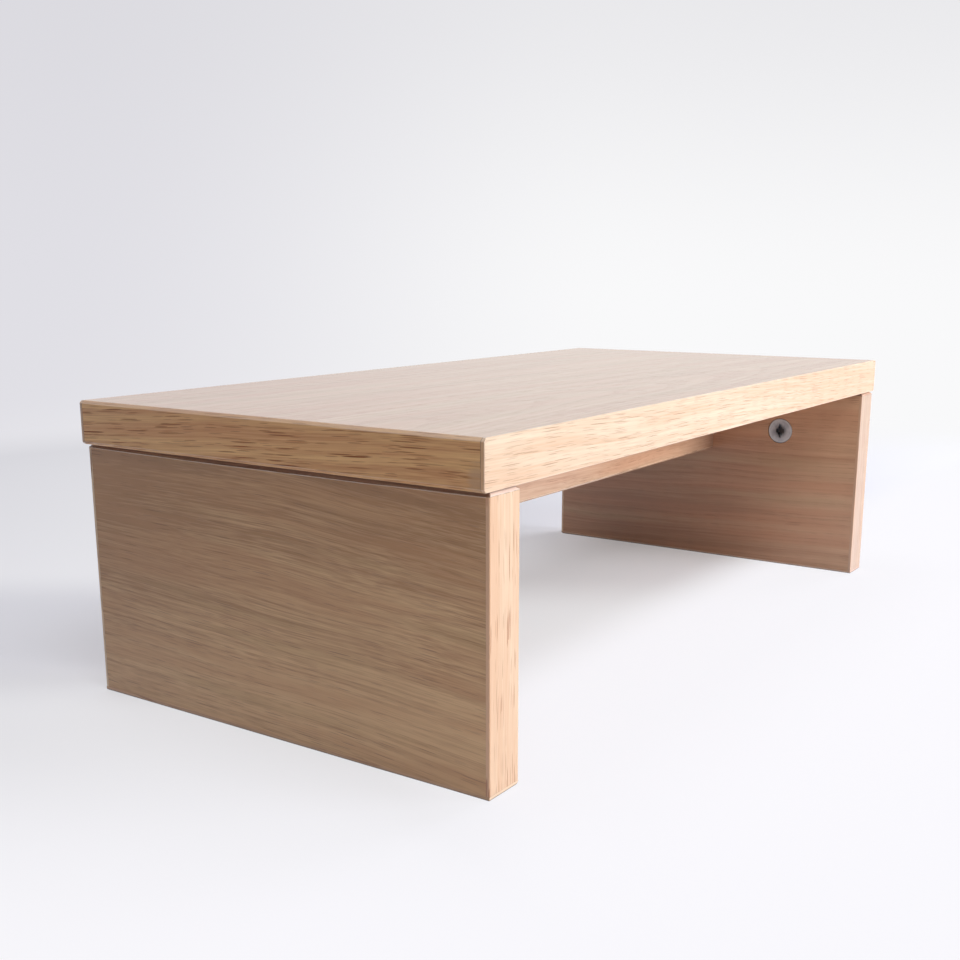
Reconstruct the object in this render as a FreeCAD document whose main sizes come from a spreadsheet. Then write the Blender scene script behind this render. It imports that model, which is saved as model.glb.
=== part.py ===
import FreeCAD, Part
import os

import Sketcher

# Monitor riser: a veneered top board on two panel legs, stiffened by a rail
# under the top at mid depth and held together by turning cam locks.
# Millimetres. X runs left to right, Y from front to rear, Z up. The origin is
# on the floor, below the middle of the top.

doc = FreeCAD.newDocument("MonitorRiser")

driving_sizes = [
    ("top_length", 406, "top board, left to right"),
    ("top_depth", 200, "top board and legs, front to rear"),
    ("riser_height", 125, "floor to upper face"),
    ("board_thickness", 18, "every board, veneers included"),
    ("side_overhang", 3, "top past the outer face of each leg"),
    ("rail_height", 39, "rail, below the underside of the top"),
    ("veneer_thickness", 0.6, "face veneers"),
    ("edging_thickness", 1.5, "solid strips on the board edges"),
    ("arris_bevel", 1.2, "flat bevel along the long arrises"),
    ("arris_ease", 0.3, "rounding of the upright arrises"),
    ("cam_diameter", 15, "bore of a cam lock"),
    ("cam_clearance", 0.1, "cam lock to its bore, radial"),
    ("cam_floor", 0.9, "cam lock below its pocket"),
    ("cam_bore_spare", 0.6, "cam lock's foot to the end of its bore"),
    ("cam_distance", 25, "joint face to the cam lock's axis"),
    ("cam_inset", 48, "front or rear of the leg to the cam lock's axis"),
    ("cam_travel", 200, "turn from locked to open, in degrees"),
    ("cam_rim_bevel", 0.4, "outer rim of the cam lock's face"),
    ("pocket_offset", 1, "eccentric throw of the pocket in the cam lock"),
    ("swing_clearance", 0.3, "bolt head and neck to the turning cam lock"),
    ("entry_clearance", 0.2, "bolt head to the hole where it enters, radial"),
    ("slot_span", 8, "driver slot in the cam lock"),
    ("slot_width", 1.6, "driver slot in the cam lock"),
    ("slot_depth", 2.2, "driver slot in the cam lock"),
    ("cross_span", 4.8, "cross recess in the cam lock"),
    ("cross_width", 2.4, "cross recess in the cam lock"),
    ("cross_depth", 3, "cross recess in the cam lock"),
    ("mark_length", 2, "arrow on the cam lock's face"),
    ("mark_width", 1.8, "arrow on the cam lock's face"),
    ("mark_depth", 0.3, "arrow on the cam lock's face"),
    ("mark_margin", 0.6, "arrow's tip to the rim bevel"),
    ("head_diameter", 6.4, "ball head of the bolt"),
    ("neck_diameter", 4, "bolt between head and shank"),
    ("shank_diameter", 6.4, "bolt between neck and thread"),
    ("neck_margin", 0.4, "shank's end to the cam lock's bore"),
    ("channel_diameter", 8, "channel for the bolt's shank"),
    ("thread_diameter", 6, "bolt thread, outside"),
    ("thread_length", 11, "bolt thread in the wood"),
    ("thread_pitch", 2, "from ridge to ridge"),
    ("thread_cut", 0.6, "depth between ridges"),
    ("thread_point", 1.2, "bevel at the thread's end"),
    ("dowel_diameter", 8, "wooden dowel"),
    ("dowel_length", 30, "wooden dowel"),
    ("dowel_seat", 11.5, "dowel's length in the board that it stands in"),
    ("dowel_bevel", 1, "at both ends of a dowel"),
    ("flute_radius", 0.5, "glue flutes along a dowel"),
    ("dowel_spacing", 40, "between the two dowels of a leg"),
    ("fit_clearance", 0.05, "dowel or thread to its hole, radial"),
    ("hole_spare", 0.5, "glue room at the end of a blind hole"),
    ("rail_bolt_drop", 11, "underside of the top to the rail's bolts"),
    ("rail_dowel_rise", 11.5, "rail's lower edge to its end dowels"),
    ("rail_top_dowel_spacing", 200, "between the dowels of rail and top"),
]

flute_count = 10
thread_ridges = 5

sizes = doc.addObject("Spreadsheet::Sheet", "Sizes")
for row, (alias, value, note) in enumerate(driving_sizes, start=1):
    sizes.set(f"A{row}", alias)
    sizes.set(f"B{row}", str(value))
    sizes.setAlias(f"B{row}", alias)
    sizes.set(f"C{row}", note)
doc.recompute()

# Sizes worked out from the sheet, as expressions
board = "Sizes.board_thickness"
veneer = "Sizes.veneer_thickness"
edging = "Sizes.edging_thickness"
core_thickness = f"({board} - 2 * {veneer})"
leg_height = f"(Sizes.riser_height - {board})"
leg_x = f"(Sizes.top_length / 2 - Sizes.side_overhang - {board} / 2)"
inner_x = f"({leg_x} - {board} / 2)"
rail_length = f"(2 * {inner_x})"
rail_bottom = f"({leg_height} - Sizes.rail_height)"
rail_bolt_z = f"({leg_height} - Sizes.rail_bolt_drop)"
rail_dowel_z = f"({rail_bottom} + Sizes.rail_dowel_rise)"
rail_cam_x = f"({inner_x} - Sizes.cam_distance)"
cam_y = "(Sizes.top_depth / 2 - Sizes.cam_inset)"
dowel_y = "(Sizes.dowel_spacing / 2)"
top_dowel_x = "(Sizes.rail_top_dowel_spacing / 2)"
inner_depth = f"(Sizes.top_depth - 2 * {edging})"
edge_strip_y = f"((Sizes.top_depth - {edging}) / 2)"
head_pocket_radius = "(Sizes.head_diameter / 2 + Sizes.swing_clearance)"
cam_height = f"({board} / 2 + {head_pocket_radius} + Sizes.cam_floor)"
cam_bore_depth = f"({cam_height} + Sizes.cam_bore_spare)"
cam_bore_radius = "(Sizes.cam_diameter / 2)"
channel_radius = "(Sizes.channel_diameter / 2)"
thread_hole_radius = "(Sizes.thread_diameter / 2 + Sizes.fit_clearance)"
dowel_hole_radius = "(Sizes.dowel_diameter / 2 + Sizes.fit_clearance)"
thread_hole_depth = "(Sizes.thread_length + Sizes.hole_spare)"
seat_hole_depth = "(Sizes.dowel_seat + Sizes.hole_spare)"
free_hole_depth = "(Sizes.dowel_length - Sizes.dowel_seat + Sizes.hole_spare)"

x_axis = FreeCAD.Vector(1, 0, 0)
y_axis = FreeCAD.Vector(0, 1, 0)
z_axis = FreeCAD.Vector(0, 0, 1)
unturned = FreeCAD.Rotation()
half_turn = FreeCAD.Rotation(z_axis, 180)

# Signs of the places where a hole is repeated
once = ((1, 1),)
four_corners = ((1, 1), (-1, 1), (-1, -1), (1, -1))
both_across = ((1, 1), (-1, 1))
both_along = ((1, 1), (1, -1))

sub_parts = []


def size(expression):
    """The present value of an expression."""
    names = {alias: sizes.get(alias) for alias, _, _ in driving_sizes}
    text = expression
    for alias in sorted(names, key=len, reverse=True):
        text = text.replace("Sizes." + alias, repr(float(names[alias])))
    return float(FreeCAD.Units.Quantity(text).Value)


def new_body(label, x="0", y="0", z="0", turn=unturned):
    body = doc.addObject("PartDesign::Body", label)
    body.Label = label
    body.Placement = FreeCAD.Placement(FreeCAD.Vector(), turn)
    body.setExpression("Placement.Base.x", x)
    body.setExpression("Placement.Base.y", y)
    body.setExpression("Placement.Base.z", z)
    sub_parts.append(body)
    return body


def origin_feature(body, role):
    return next(item for item in body.Origin.OriginFeatures if item.Role == role)


def new_sketch(body, name, plane, offset="0", lean=unturned):
    sketch = body.newObject("Sketcher::SketchObject", name)
    sketch.AttachmentSupport = (origin_feature(body, plane), [""])
    sketch.MapMode = "FlatFace"
    sketch.AttachmentOffset = FreeCAD.Placement(FreeCAD.Vector(), lean)
    sketch.setExpression("AttachmentOffset.Base.z", offset)
    return sketch


def dimension(sketch, kind, name, expression, *points):
    number = sketch.addConstraint(Sketcher.Constraint(kind, *points, size(expression)))
    sketch.renameConstraint(number, name)
    sketch.setExpression("Constraints." + name, expression)


def pin(sketch, geometry, point, across, along):
    """Holds a point of the sketch at two signed distances from its origin."""
    for kind, axis, expression in (("DistanceX", -2, across), ("DistanceY", -1, along)):
        distance = size(expression)
        if abs(distance) < 1e-9:
            sketch.addConstraint(Sketcher.Constraint("PointOnObject", geometry, point, axis))
        elif distance > 0:
            dimension(sketch, kind, f"{kind}{geometry}_{point}", expression, -1, 1, geometry, point)
        else:
            dimension(sketch, kind, f"{kind}{geometry}_{point}", f"-({expression})",
                      geometry, point, -1, 1)


def draw_lines(sketch, corners):
    """A closed ring of lines, joined end to end."""
    count = len(corners)
    first = sketch.GeometryCount
    for side in range(count):
        sketch.addGeometry(Part.LineSegment(corners[side], corners[(side + 1) % count]))
    for side in range(count):
        following = first + (side + 1) % count
        sketch.addConstraint(Sketcher.Constraint("Coincident", first + side, 2, following, 1))
    return first


def draw_polygon(sketch, points):
    """A closed outline whose corners are pinned at the given pairs of expressions."""
    corners = [FreeCAD.Vector(size(across), size(along), 0) for across, along in points]
    first = draw_lines(sketch, corners)
    for number, (across, along) in enumerate(points):
        pin(sketch, first + number, 1, across, along)


def draw_rectangle(sketch, width, height):
    """A rectangle centred on the sketch's origin."""
    half_width = size(width) / 2
    half_height = size(height) / 2
    first = draw_lines(sketch, [FreeCAD.Vector(across * half_width, along * half_height, 0)
                                for across, along in ((-1, -1), (1, -1), (1, 1), (-1, 1))])
    for side, direction in enumerate(("Horizontal", "Vertical") * 2):
        sketch.addConstraint(Sketcher.Constraint(direction, first + side))
    sketch.addConstraint(Sketcher.Constraint("Symmetric", first, 1, first + 1, 2, -1, 1))
    dimension(sketch, "DistanceX", f"width{first}", width, first, 1, first, 2)
    dimension(sketch, "DistanceY", f"height{first}", height, first + 1, 1, first + 1, 2)


def draw_circles(sketch, radius, across="0", along="0", sides=once):
    """Equal circles, each at the two distances from the origin times its pair of signs."""
    for across_side, along_side in sides:
        place = (f"{across_side} * ({across})", f"{along_side} * ({along})")
        centre = FreeCAD.Vector(size(place[0]), size(place[1]), 0)
        number = sketch.addGeometry(Part.Circle(centre, z_axis, size(radius)))
        dimension(sketch, "Radius", f"radius{number}", radius, number)
        pin(sketch, number, 3, *place)


def pad(body, sketch, length):
    feature = body.newObject("PartDesign::Pad", sketch.Name + "_pad")
    feature.Profile = sketch
    feature.setExpression("Length", length)
    doc.recompute()
    return feature


def pocket(body, sketch, depth, forward=False):
    """Cuts against the sketch's normal, or along it when forward, and proves that it cut."""
    before = body.Shape.Volume
    feature = body.newObject("PartDesign::Pocket", sketch.Name + "_pocket")
    feature.Profile = sketch
    feature.Reversed = forward
    feature.setExpression("Length", depth)
    doc.recompute()
    if body.Shape.Volume > before - 0.01:
        raise RuntimeError(f"{body.Label}: {feature.Name} cuts nothing")
    return feature


def drill(body, name, plane, face, radius, across, along, sides, depth, forward=False):
    sketch = new_sketch(body, f"{body.Name}_{name}", plane, face)
    draw_circles(sketch, radius, across, along, sides)
    return pocket(body, sketch, depth, forward)


def block(label, width, depth, height, x="0", y="0", z="0", turn=unturned):
    """A body with a centred rectangular foot that stands up from its own origin."""
    body = new_body(label, x, y, z, turn)
    sketch = new_sketch(body, label + "_foot", "XY_Plane")
    draw_rectangle(sketch, width, depth)
    pad(body, sketch, height)
    return body


def on_plane(edge, axis, distance):
    return all(abs(getattr(vertex.Point, axis) - distance) < 1e-4 for vertex in edge.Vertexes)


def dress(body, kind, expression, chosen):
    """A chamfer or fillet on the edges of the body's last feature that pass the test."""
    base = body.Tip
    names = [f"Edge{number}" for number, edge in enumerate(base.Shape.Edges, start=1)
             if chosen(edge)]
    feature = body.newObject("PartDesign::" + kind, f"{body.Name}_{kind.lower()}")
    feature.Base = (base, names)
    feature.setExpression("Size" if kind == "Chamfer" else "Radius", expression)
    doc.recompute()
    return feature


def bevel_arrises(body, levels, open_sides):
    """Bevels each edge that lies on one of the levels and on one of the open sides."""
    heights = [size(level) for level in levels]
    sides = [(axis, size(distance)) for axis, distance in open_sides]
    dress(body, "Chamfer", "Sizes.arris_bevel", lambda edge: (
        any(on_plane(edge, "z", height) for height in heights)
        and any(on_plane(edge, axis, distance) for axis, distance in sides)))


def ease_corners(body, corners):
    """Rounds the upright edges at the given places of the body's plan."""
    places = [(size(across), size(along)) for across, along in corners]
    dress(body, "Fillet", "Sizes.arris_ease", lambda edge: any(
        on_plane(edge, "x", across) and on_plane(edge, "y", along) for across, along in places))


# Top board

def drill_top(body, lost):
    """Holes in the underside for bolts and dowels, less the layer already passed."""
    drill(body, "bolt_holes", "XY_Plane", "0", thread_hole_radius, leg_x, cam_y, four_corners,
          f"{thread_hole_depth} - {lost}", forward=True)
    drill(body, "leg_dowel_holes", "XY_Plane", "0", dowel_hole_radius, leg_x, dowel_y, four_corners,
          f"{seat_hole_depth} - {lost}", forward=True)
    drill(body, "rail_dowel_holes", "XY_Plane", "0", dowel_hole_radius, top_dowel_x, "0",
          both_across, f"{seat_hole_depth} - {lost}", forward=True)


def make_top():
    core_length = f"(Sizes.top_length - 2 * {edging})"
    core = block("top_core", core_length, inner_depth, core_thickness,
                 z=f"{leg_height} + {veneer}")
    drill_top(core, veneer)
    lower = block("top_lower_veneer", core_length, inner_depth, veneer, z=leg_height)
    drill_top(lower, "0")
    block("top_upper_veneer", core_length, inner_depth, veneer,
          z=f"Sizes.riser_height - {veneer}")
    levels = ("0", board)
    end_x = "Sizes.top_length / 2"
    half_edging = f"{edging} / 2"
    for name, side in (("front", "-"), ("rear", "")):
        strip = block(f"top_{name}_edging", "Sizes.top_length", edging, board,
                      y=f"{side}{edge_strip_y}", z=leg_height)
        outside = f"{side}{half_edging}"
        bevel_arrises(strip, levels, (("y", outside), ("x", end_x), ("x", "-" + end_x)))
        ease_corners(strip, ((end_x, outside), ("-" + end_x, outside)))
    for name, side in (("left", "-"), ("right", "")):
        strip = block(f"top_{name}_edging", edging, inner_depth, board,
                      x=f"{side}(Sizes.top_length - {edging}) / 2", z=leg_height)
        bevel_arrises(strip, levels, (("x", f"{side}{half_edging}"),))


# Legs. Each is drawn with its inner face to the local +X; the right leg is turned half round.

def drill_leg_end(body, face, channel_depth, dowel_depth):
    """Channels for the bolts and holes for the dowels, from the upper end."""
    drill(body, "channels", "XY_Plane", face, channel_radius, "0", cam_y, both_along,
          channel_depth)
    drill(body, "dowel_holes", "XY_Plane", face, dowel_hole_radius, "0", dowel_y, both_along,
          dowel_depth)


def drill_leg_face(body, face, cam_depth, thread_depth, dowel_depth):
    """Bores for the cam locks, and the holes for the rail's bolt and dowel, from the inner face."""
    drill(body, "cam_bores", "YZ_Plane", face, cam_bore_radius, cam_y,
          f"{leg_height} - Sizes.cam_distance - {edging}", both_across, cam_depth)
    drill(body, "rail_bolt_hole", "YZ_Plane", face, thread_hole_radius, "0",
          f"{rail_bolt_z} - {edging}", once, thread_depth)
    drill(body, "rail_dowel_hole", "YZ_Plane", face, dowel_hole_radius, "0",
          f"{rail_dowel_z} - {edging}", once, dowel_depth)


def make_leg(side_name, side, turn):
    middle = f"{side}{leg_x}"
    panel_height = f"({leg_height} - 2 * {edging})"
    name = side_name + "_leg_"
    half_core = f"{core_thickness} / 2"
    half_veneer = f"{veneer} / 2"
    half_board = f"{board} / 2"
    veneer_offset = f"({board} - {veneer}) / 2"

    core = block(name + "core", core_thickness, inner_depth, panel_height,
                 x=middle, z=edging, turn=turn)
    drill_leg_end(core, panel_height, f"Sizes.cam_distance - {edging}",
                  f"{free_hole_depth} - {edging}")
    drill_leg_face(core, half_core, f"{cam_bore_depth} - {veneer}",
                   f"{thread_hole_depth} - {veneer}", f"{seat_hole_depth} - {veneer}")

    inner = block(name + "inner_veneer", veneer, inner_depth, panel_height,
                  x=f"{side}({leg_x} - {veneer_offset})", z=edging, turn=turn)
    drill_leg_face(inner, half_veneer, veneer, veneer, veneer)
    block(name + "outer_veneer", veneer, inner_depth, panel_height,
          x=f"{side}({leg_x} + {veneer_offset})", z=edging, turn=turn)

    for edge, edge_side in (("front", "-"), ("rear", "")):
        strip = block(f"{name}{edge}_edging", board, edging, panel_height,
                      x=middle, y=f"{edge_side}{edge_strip_y}", z=edging)
        outside = f"{edge_side}{edging} / 2"
        ease_corners(strip, ((half_board, outside), ("-" + half_board, outside)))

    half_depth = "Sizes.top_depth / 2"
    open_sides = (("x", half_board), ("x", "-" + half_board),
                  ("y", half_depth), ("y", "-" + half_depth))
    upper = block(name + "top_edging", board, "Sizes.top_depth", edging,
                  x=middle, z=f"{leg_height} - {edging}", turn=turn)
    bevel_arrises(upper, (edging,), open_sides)
    drill_leg_end(upper, edging, edging, edging)
    lower = block(name + "bottom_edging", board, "Sizes.top_depth", edging, x=middle, turn=turn)
    bevel_arrises(lower, ("0",), open_sides)


# Rail

def mirror_left(body, features):
    """Repeats the right-hand holes at the left end."""
    feature = body.newObject("PartDesign::Mirrored", body.Name + "_mirror")
    feature.Originals = features
    feature.MirrorPlane = (origin_feature(body, "YZ_Plane"), [""])
    body.Tip = feature
    doc.recompute()


def make_rail():
    panel_height = f"(Sizes.rail_height - {edging})"
    floor = f"{rail_bottom} + {edging}"
    bolt_level = f"(Sizes.rail_height - Sizes.rail_bolt_drop - {edging})"
    dowel_level = f"Sizes.rail_dowel_rise - {edging}"
    core = block("rail_core", rail_length, core_thickness, panel_height, z=floor)
    holes = [
        drill(core, "cam_bore", "XZ_Plane", f"-{core_thickness} / 2", cam_bore_radius,
              rail_cam_x, bolt_level, once, f"{cam_bore_depth} - {veneer}", forward=True),
        drill(core, "channel", "YZ_Plane", inner_x, channel_radius, "0", bolt_level, once,
              "Sizes.cam_distance"),
        drill(core, "end_dowel_hole", "YZ_Plane", inner_x, dowel_hole_radius, "0", dowel_level,
              once, free_hole_depth),
        drill(core, "top_dowel_hole", "XY_Plane", panel_height, dowel_hole_radius, top_dowel_x,
              "0", once, free_hole_depth),
    ]
    mirror_left(core, holes)
    block("rail_front_veneer", rail_length, veneer, panel_height,
          y=f"-({board} - {veneer}) / 2", z=floor)
    rear = block("rail_rear_veneer", rail_length, veneer, panel_height,
                 y=f"({board} - {veneer}) / 2", z=floor)
    bore = drill(rear, "cam_bore", "XZ_Plane", f"-{veneer} / 2", cam_bore_radius, rail_cam_x,
                 bolt_level, once, veneer, forward=True)
    mirror_left(rear, [bore])
    lower = block("rail_bottom_edging", rail_length, board, edging, z=rail_bottom)
    bevel_arrises(lower, ("0",), (("y", f"{board} / 2"), ("y", f"-{board} / 2")))


# Cam locks. Local +Z is the outward normal of the board's face, and the bolt comes from +Y.

def make_cam_lock(label, x, y, z, turn):
    cam_radius = "(Sizes.cam_diameter / 2 - Sizes.cam_clearance)"
    neck_radius = "(Sizes.neck_diameter / 2 + Sizes.swing_clearance)"
    body = new_body(label, x, y, z, turn)
    disc = new_sketch(body, label + "_disc", "XY_Plane")
    draw_circles(disc, cam_radius)
    feature = pad(body, disc, cam_height)
    feature.Reversed = True
    doc.recompute()

    # The pocket that turns round the bolt's head is furthest from the axis at the open end
    # of the travel, where the head enters, and draws in towards the locked end.
    entry_turn = FreeCAD.Rotation(z_axis, -size("Sizes.cam_travel"))
    pocket_sketch = new_sketch(body, label + "_head_pocket", "XY_Plane",
                               f"{head_pocket_radius} - {board} / 2", entry_turn)
    draw_circles(pocket_sketch, f"{head_pocket_radius} + Sizes.pocket_offset", "0",
                 "Sizes.pocket_offset")
    pocket(body, pocket_sketch, f"2 * {head_pocket_radius}")

    # The neck's way round: a sector of the wall, from the bolt's place to the entry hole
    sector = new_sketch(body, label + "_neck_way", "XY_Plane", f"{neck_radius} - {board} / 2")
    reach = size("Sizes.cam_diameter")
    travel = size("Sizes.cam_travel")
    steps = [FreeCAD.Rotation(z_axis, -travel * share).multVec(y_axis * reach)
             for share in (0, 0.5, 1)]
    centre = FreeCAD.Vector()
    sector.addGeometry(Part.LineSegment(centre, steps[0]))
    sector.addGeometry(Part.Arc(*steps))
    sector.addGeometry(Part.LineSegment(steps[2], centre))
    pocket(body, sector, f"2 * {neck_radius}")
    neck = new_sketch(body, label + "_neck_seat", "XZ_Plane")
    draw_circles(neck, neck_radius, "0", f"-{board} / 2")
    pocket(body, neck, "Sizes.cam_diameter")
    entry = new_sketch(body, label + "_head_entry", "XZ_Plane",
                       lean=FreeCAD.Rotation(y_axis, -travel))
    draw_circles(entry, "Sizes.head_diameter / 2 + Sizes.entry_clearance", "0", f"-{board} / 2")
    pocket(body, entry, "Sizes.cam_diameter")

    slot = new_sketch(body, label + "_driver_slot", "XY_Plane")
    draw_rectangle(slot, "Sizes.slot_width", "Sizes.slot_span")
    pocket(body, slot, "Sizes.slot_depth")
    for arm, width, span in (("across", "Sizes.cross_span", "Sizes.cross_width"),
                             ("along", "Sizes.cross_width", "Sizes.cross_span")):
        cross = new_sketch(body, f"{label}_cross_{arm}", "XY_Plane")
        draw_rectangle(cross, width, span)
        pocket(body, cross, "Sizes.cross_depth")
    tip = f"({cam_radius} - Sizes.cam_rim_bevel - Sizes.mark_margin)"
    mark_foot = f"({tip} - Sizes.mark_length)"
    mark = new_sketch(body, label + "_mark", "XY_Plane")
    draw_polygon(mark, [("-Sizes.mark_width / 2", mark_foot), ("Sizes.mark_width / 2", mark_foot),
                        ("0", tip)])
    pocket(body, mark, "Sizes.mark_depth")
    rim = size(cam_radius)
    dress(body, "Chamfer", "Sizes.cam_rim_bevel", lambda edge: (
        on_plane(edge, "z", 0) and hasattr(edge.Curve, "Radius")
        and abs(edge.Curve.Radius - rim) < 1e-4))


# Bolts. Local +Z runs into the board that holds the thread; 0 is the joint face.

def make_bolt(label, x, y, z, turn):
    body = new_body(label, x, y, z, turn)
    profile = new_sketch(body, label + "_profile", "XZ_Plane")
    neck = "Sizes.neck_diameter / 2"
    shank = "Sizes.shank_diameter / 2"
    thread = "Sizes.thread_diameter / 2"
    point = "Sizes.thread_point"
    shank_end = f"({cam_bore_radius} + Sizes.neck_margin - Sizes.cam_distance)"
    neck_start = "-Sizes.cam_distance"
    draw_polygon(profile, [("0", neck_start), (neck, neck_start), (neck, shank_end),
                           (shank, shank_end), (shank, "0"), (thread, "0"),
                           (thread, f"Sizes.thread_length - {point}"),
                           (f"{thread} - {point}", "Sizes.thread_length"),
                           ("0", "Sizes.thread_length")])
    turned = body.newObject("PartDesign::Revolution", label + "_turned")
    turned.Profile = profile
    turned.ReferenceAxis = (profile, ["V_Axis"])
    doc.recompute()

    ball = new_sketch(body, label + "_ball", "XZ_Plane")
    head = "Sizes.head_diameter / 2"
    radius = size(head)
    middle = FreeCAD.Vector(0, -size("Sizes.cam_distance"), 0)
    ball.addGeometry(Part.Arc(middle - y_axis * radius, middle + x_axis * radius,
                              middle + y_axis * radius))
    ball.addGeometry(Part.LineSegment(middle + y_axis * radius, middle - y_axis * radius))
    ball.addConstraint(Sketcher.Constraint("Coincident", 0, 2, 1, 1))
    ball.addConstraint(Sketcher.Constraint("Coincident", 1, 2, 0, 1))
    ball.addConstraint(Sketcher.Constraint("PointOnObject", 1, 1, -2))
    dimension(ball, "Radius", "radius", head, 0)
    pin(ball, 0, 3, "0", "-Sizes.cam_distance")
    rounded = body.newObject("PartDesign::Revolution", label + "_head")
    rounded.Profile = ball
    rounded.ReferenceAxis = (ball, ["V_Axis"])
    doc.recompute()

    ridge = new_sketch(body, label + "_thread_cut", "XZ_Plane")
    first_ridge = "Sizes.thread_pitch / 2"
    outside = f"({thread} + Sizes.thread_cut)"
    draw_polygon(ridge, [(f"{thread} - Sizes.thread_cut", first_ridge),
                         (outside, f"{first_ridge} - Sizes.thread_cut"),
                         (outside, f"{first_ridge} + Sizes.thread_cut")])
    before = body.Shape.Volume
    groove = body.newObject("PartDesign::Groove", label + "_groove")
    groove.Profile = ridge
    groove.ReferenceAxis = (ridge, ["V_Axis"])
    doc.recompute()
    rings = body.newObject("PartDesign::LinearPattern", label + "_thread")
    rings.Originals = [groove]
    rings.Direction = (origin_feature(body, "Z_Axis"), [""])
    rings.setExpression("Length", f"{thread_ridges - 1} * Sizes.thread_pitch")
    rings.Occurrences = thread_ridges
    body.Tip = rings
    doc.recompute()
    if body.Shape.Volume > before - 0.01:
        raise RuntimeError(f"{label}: the thread cuts nothing")


# Dowels. Local +Z runs into the board that they are seated in; 0 is the joint face.

def make_dowel(label, x, y, z, turn=unturned):
    body = new_body(label, x, y, z, turn)
    round_bar = new_sketch(body, label + "_bar", "XY_Plane",
                           "Sizes.dowel_seat - Sizes.dowel_length")
    draw_circles(round_bar, "Sizes.dowel_diameter / 2")
    pad(body, round_bar, "Sizes.dowel_length")
    dress(body, "Chamfer", "Sizes.dowel_bevel",
          lambda edge: hasattr(edge.Curve, "Radius"))
    flute = new_sketch(body, label + "_flute", "XY_Plane", "Sizes.dowel_seat")
    draw_circles(flute, "Sizes.flute_radius", "Sizes.dowel_diameter / 2")
    cut = pocket(body, flute, "Sizes.dowel_length")
    round_again = body.newObject("PartDesign::PolarPattern", label + "_flutes")
    round_again.Originals = [cut]
    round_again.Axis = (origin_feature(body, "Z_Axis"), [""])
    round_again.Angle = 360
    round_again.Occurrences = flute_count
    body.Tip = round_again
    doc.recompute()


def frame_turn(towards_y, towards_z):
    """The turn that takes local Y and Z to the two given directions."""
    return FreeCAD.Rotation(towards_y.cross(towards_z), towards_y, towards_z, "ZYX")


def make_fittings():
    for side_name, side, outward in (("left", "-", x_axis), ("right", "", -x_axis)):
        for place, place_side in (("front", "-"), ("rear", "")):
            where = f"{place}_{side_name}"
            make_cam_lock(where + "_cam_lock", f"{side}{inner_x}", f"{place_side}{cam_y}",
                          f"{leg_height} - Sizes.cam_distance", frame_turn(z_axis, outward))
            make_bolt(where + "_bolt", f"{side}{leg_x}", f"{place_side}{cam_y}", leg_height,
                      unturned)
            make_dowel(where + "_dowel", f"{side}{leg_x}", f"{place_side}{dowel_y}", leg_height)
        into_leg = frame_turn(y_axis, -outward)
        make_cam_lock(f"{side_name}_rail_cam_lock", f"{side}{rail_cam_x}", f"{board} / 2",
                      rail_bolt_z, frame_turn(-outward, y_axis))
        make_bolt(f"{side_name}_rail_bolt", f"{side}{inner_x}", "0", rail_bolt_z, into_leg)
        make_dowel(f"{side_name}_rail_dowel", f"{side}{inner_x}", "0", rail_dowel_z, into_leg)
        make_dowel(f"{side_name}_top_dowel", f"{side}{top_dowel_x}", "0", leg_height)


def check_and_write():
    doc.recompute()
    for item in doc.Objects:
        if "Invalid" in item.State or "Error" in item.State:
            raise RuntimeError(f"{item.Label} did not build: {item.State}")
    for body in sub_parts:
        if body.Shape.isNull() or not body.Shape.isValid():
            raise RuntimeError(f"{body.Label} has no valid shape")
    os.makedirs("parts", exist_ok=True)
    for body in sub_parts:
        body.Shape.exportStep(f"parts/{body.Label}.step")
        print(f"{body.Label}: {body.Shape.Volume / 1000:.3f} cm3, {len(body.Shape.Solids)} solid")


make_top()
make_leg("left", "-", unturned)
make_leg("right", "", half_turn)
make_rail()
make_fittings()
check_and_write()
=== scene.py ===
import math

import bpy
import numpy as np
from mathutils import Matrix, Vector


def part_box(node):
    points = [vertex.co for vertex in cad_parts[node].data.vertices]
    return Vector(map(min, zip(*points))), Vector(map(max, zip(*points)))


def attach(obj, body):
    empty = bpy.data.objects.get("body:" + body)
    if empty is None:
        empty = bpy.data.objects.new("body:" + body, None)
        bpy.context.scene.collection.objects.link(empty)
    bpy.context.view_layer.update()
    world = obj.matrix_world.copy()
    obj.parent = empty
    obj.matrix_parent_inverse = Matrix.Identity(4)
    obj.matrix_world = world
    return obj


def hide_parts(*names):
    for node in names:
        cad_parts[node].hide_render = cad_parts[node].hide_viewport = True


# Oak monitor riser: veneered top on two legs, with a rail under the top, solid oak edging
# and cam locks. Metres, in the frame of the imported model: X left to right, Y to the rear.

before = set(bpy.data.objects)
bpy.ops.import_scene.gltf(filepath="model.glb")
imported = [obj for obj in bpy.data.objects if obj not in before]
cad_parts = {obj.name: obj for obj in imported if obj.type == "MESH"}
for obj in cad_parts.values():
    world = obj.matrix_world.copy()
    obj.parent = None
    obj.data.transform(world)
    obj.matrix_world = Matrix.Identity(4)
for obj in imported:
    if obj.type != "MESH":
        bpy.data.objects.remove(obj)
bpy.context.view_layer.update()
mm = 0.001
print("frame loaded:", len(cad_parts), "nodes")


# Shapes


def gentleWave(distance, seed):
    # Slow unevenness of hand sanding, about -1 to 1: four sines of falling height added up,
    # whose lengths (18 to 110 mm) and starts are drawn once from the seed.
    dice = np.random.default_rng(seed)
    lengths = dice.uniform(0.018, 0.11, (4, 1))
    starts = dice.uniform(0, 2 * np.pi, (4, 1))
    heights = np.array([[0.4], [0.3], [0.2], [0.1]])
    return (heights * np.sin(2 * np.pi * distance / lengths + starts)).sum(0)


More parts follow.
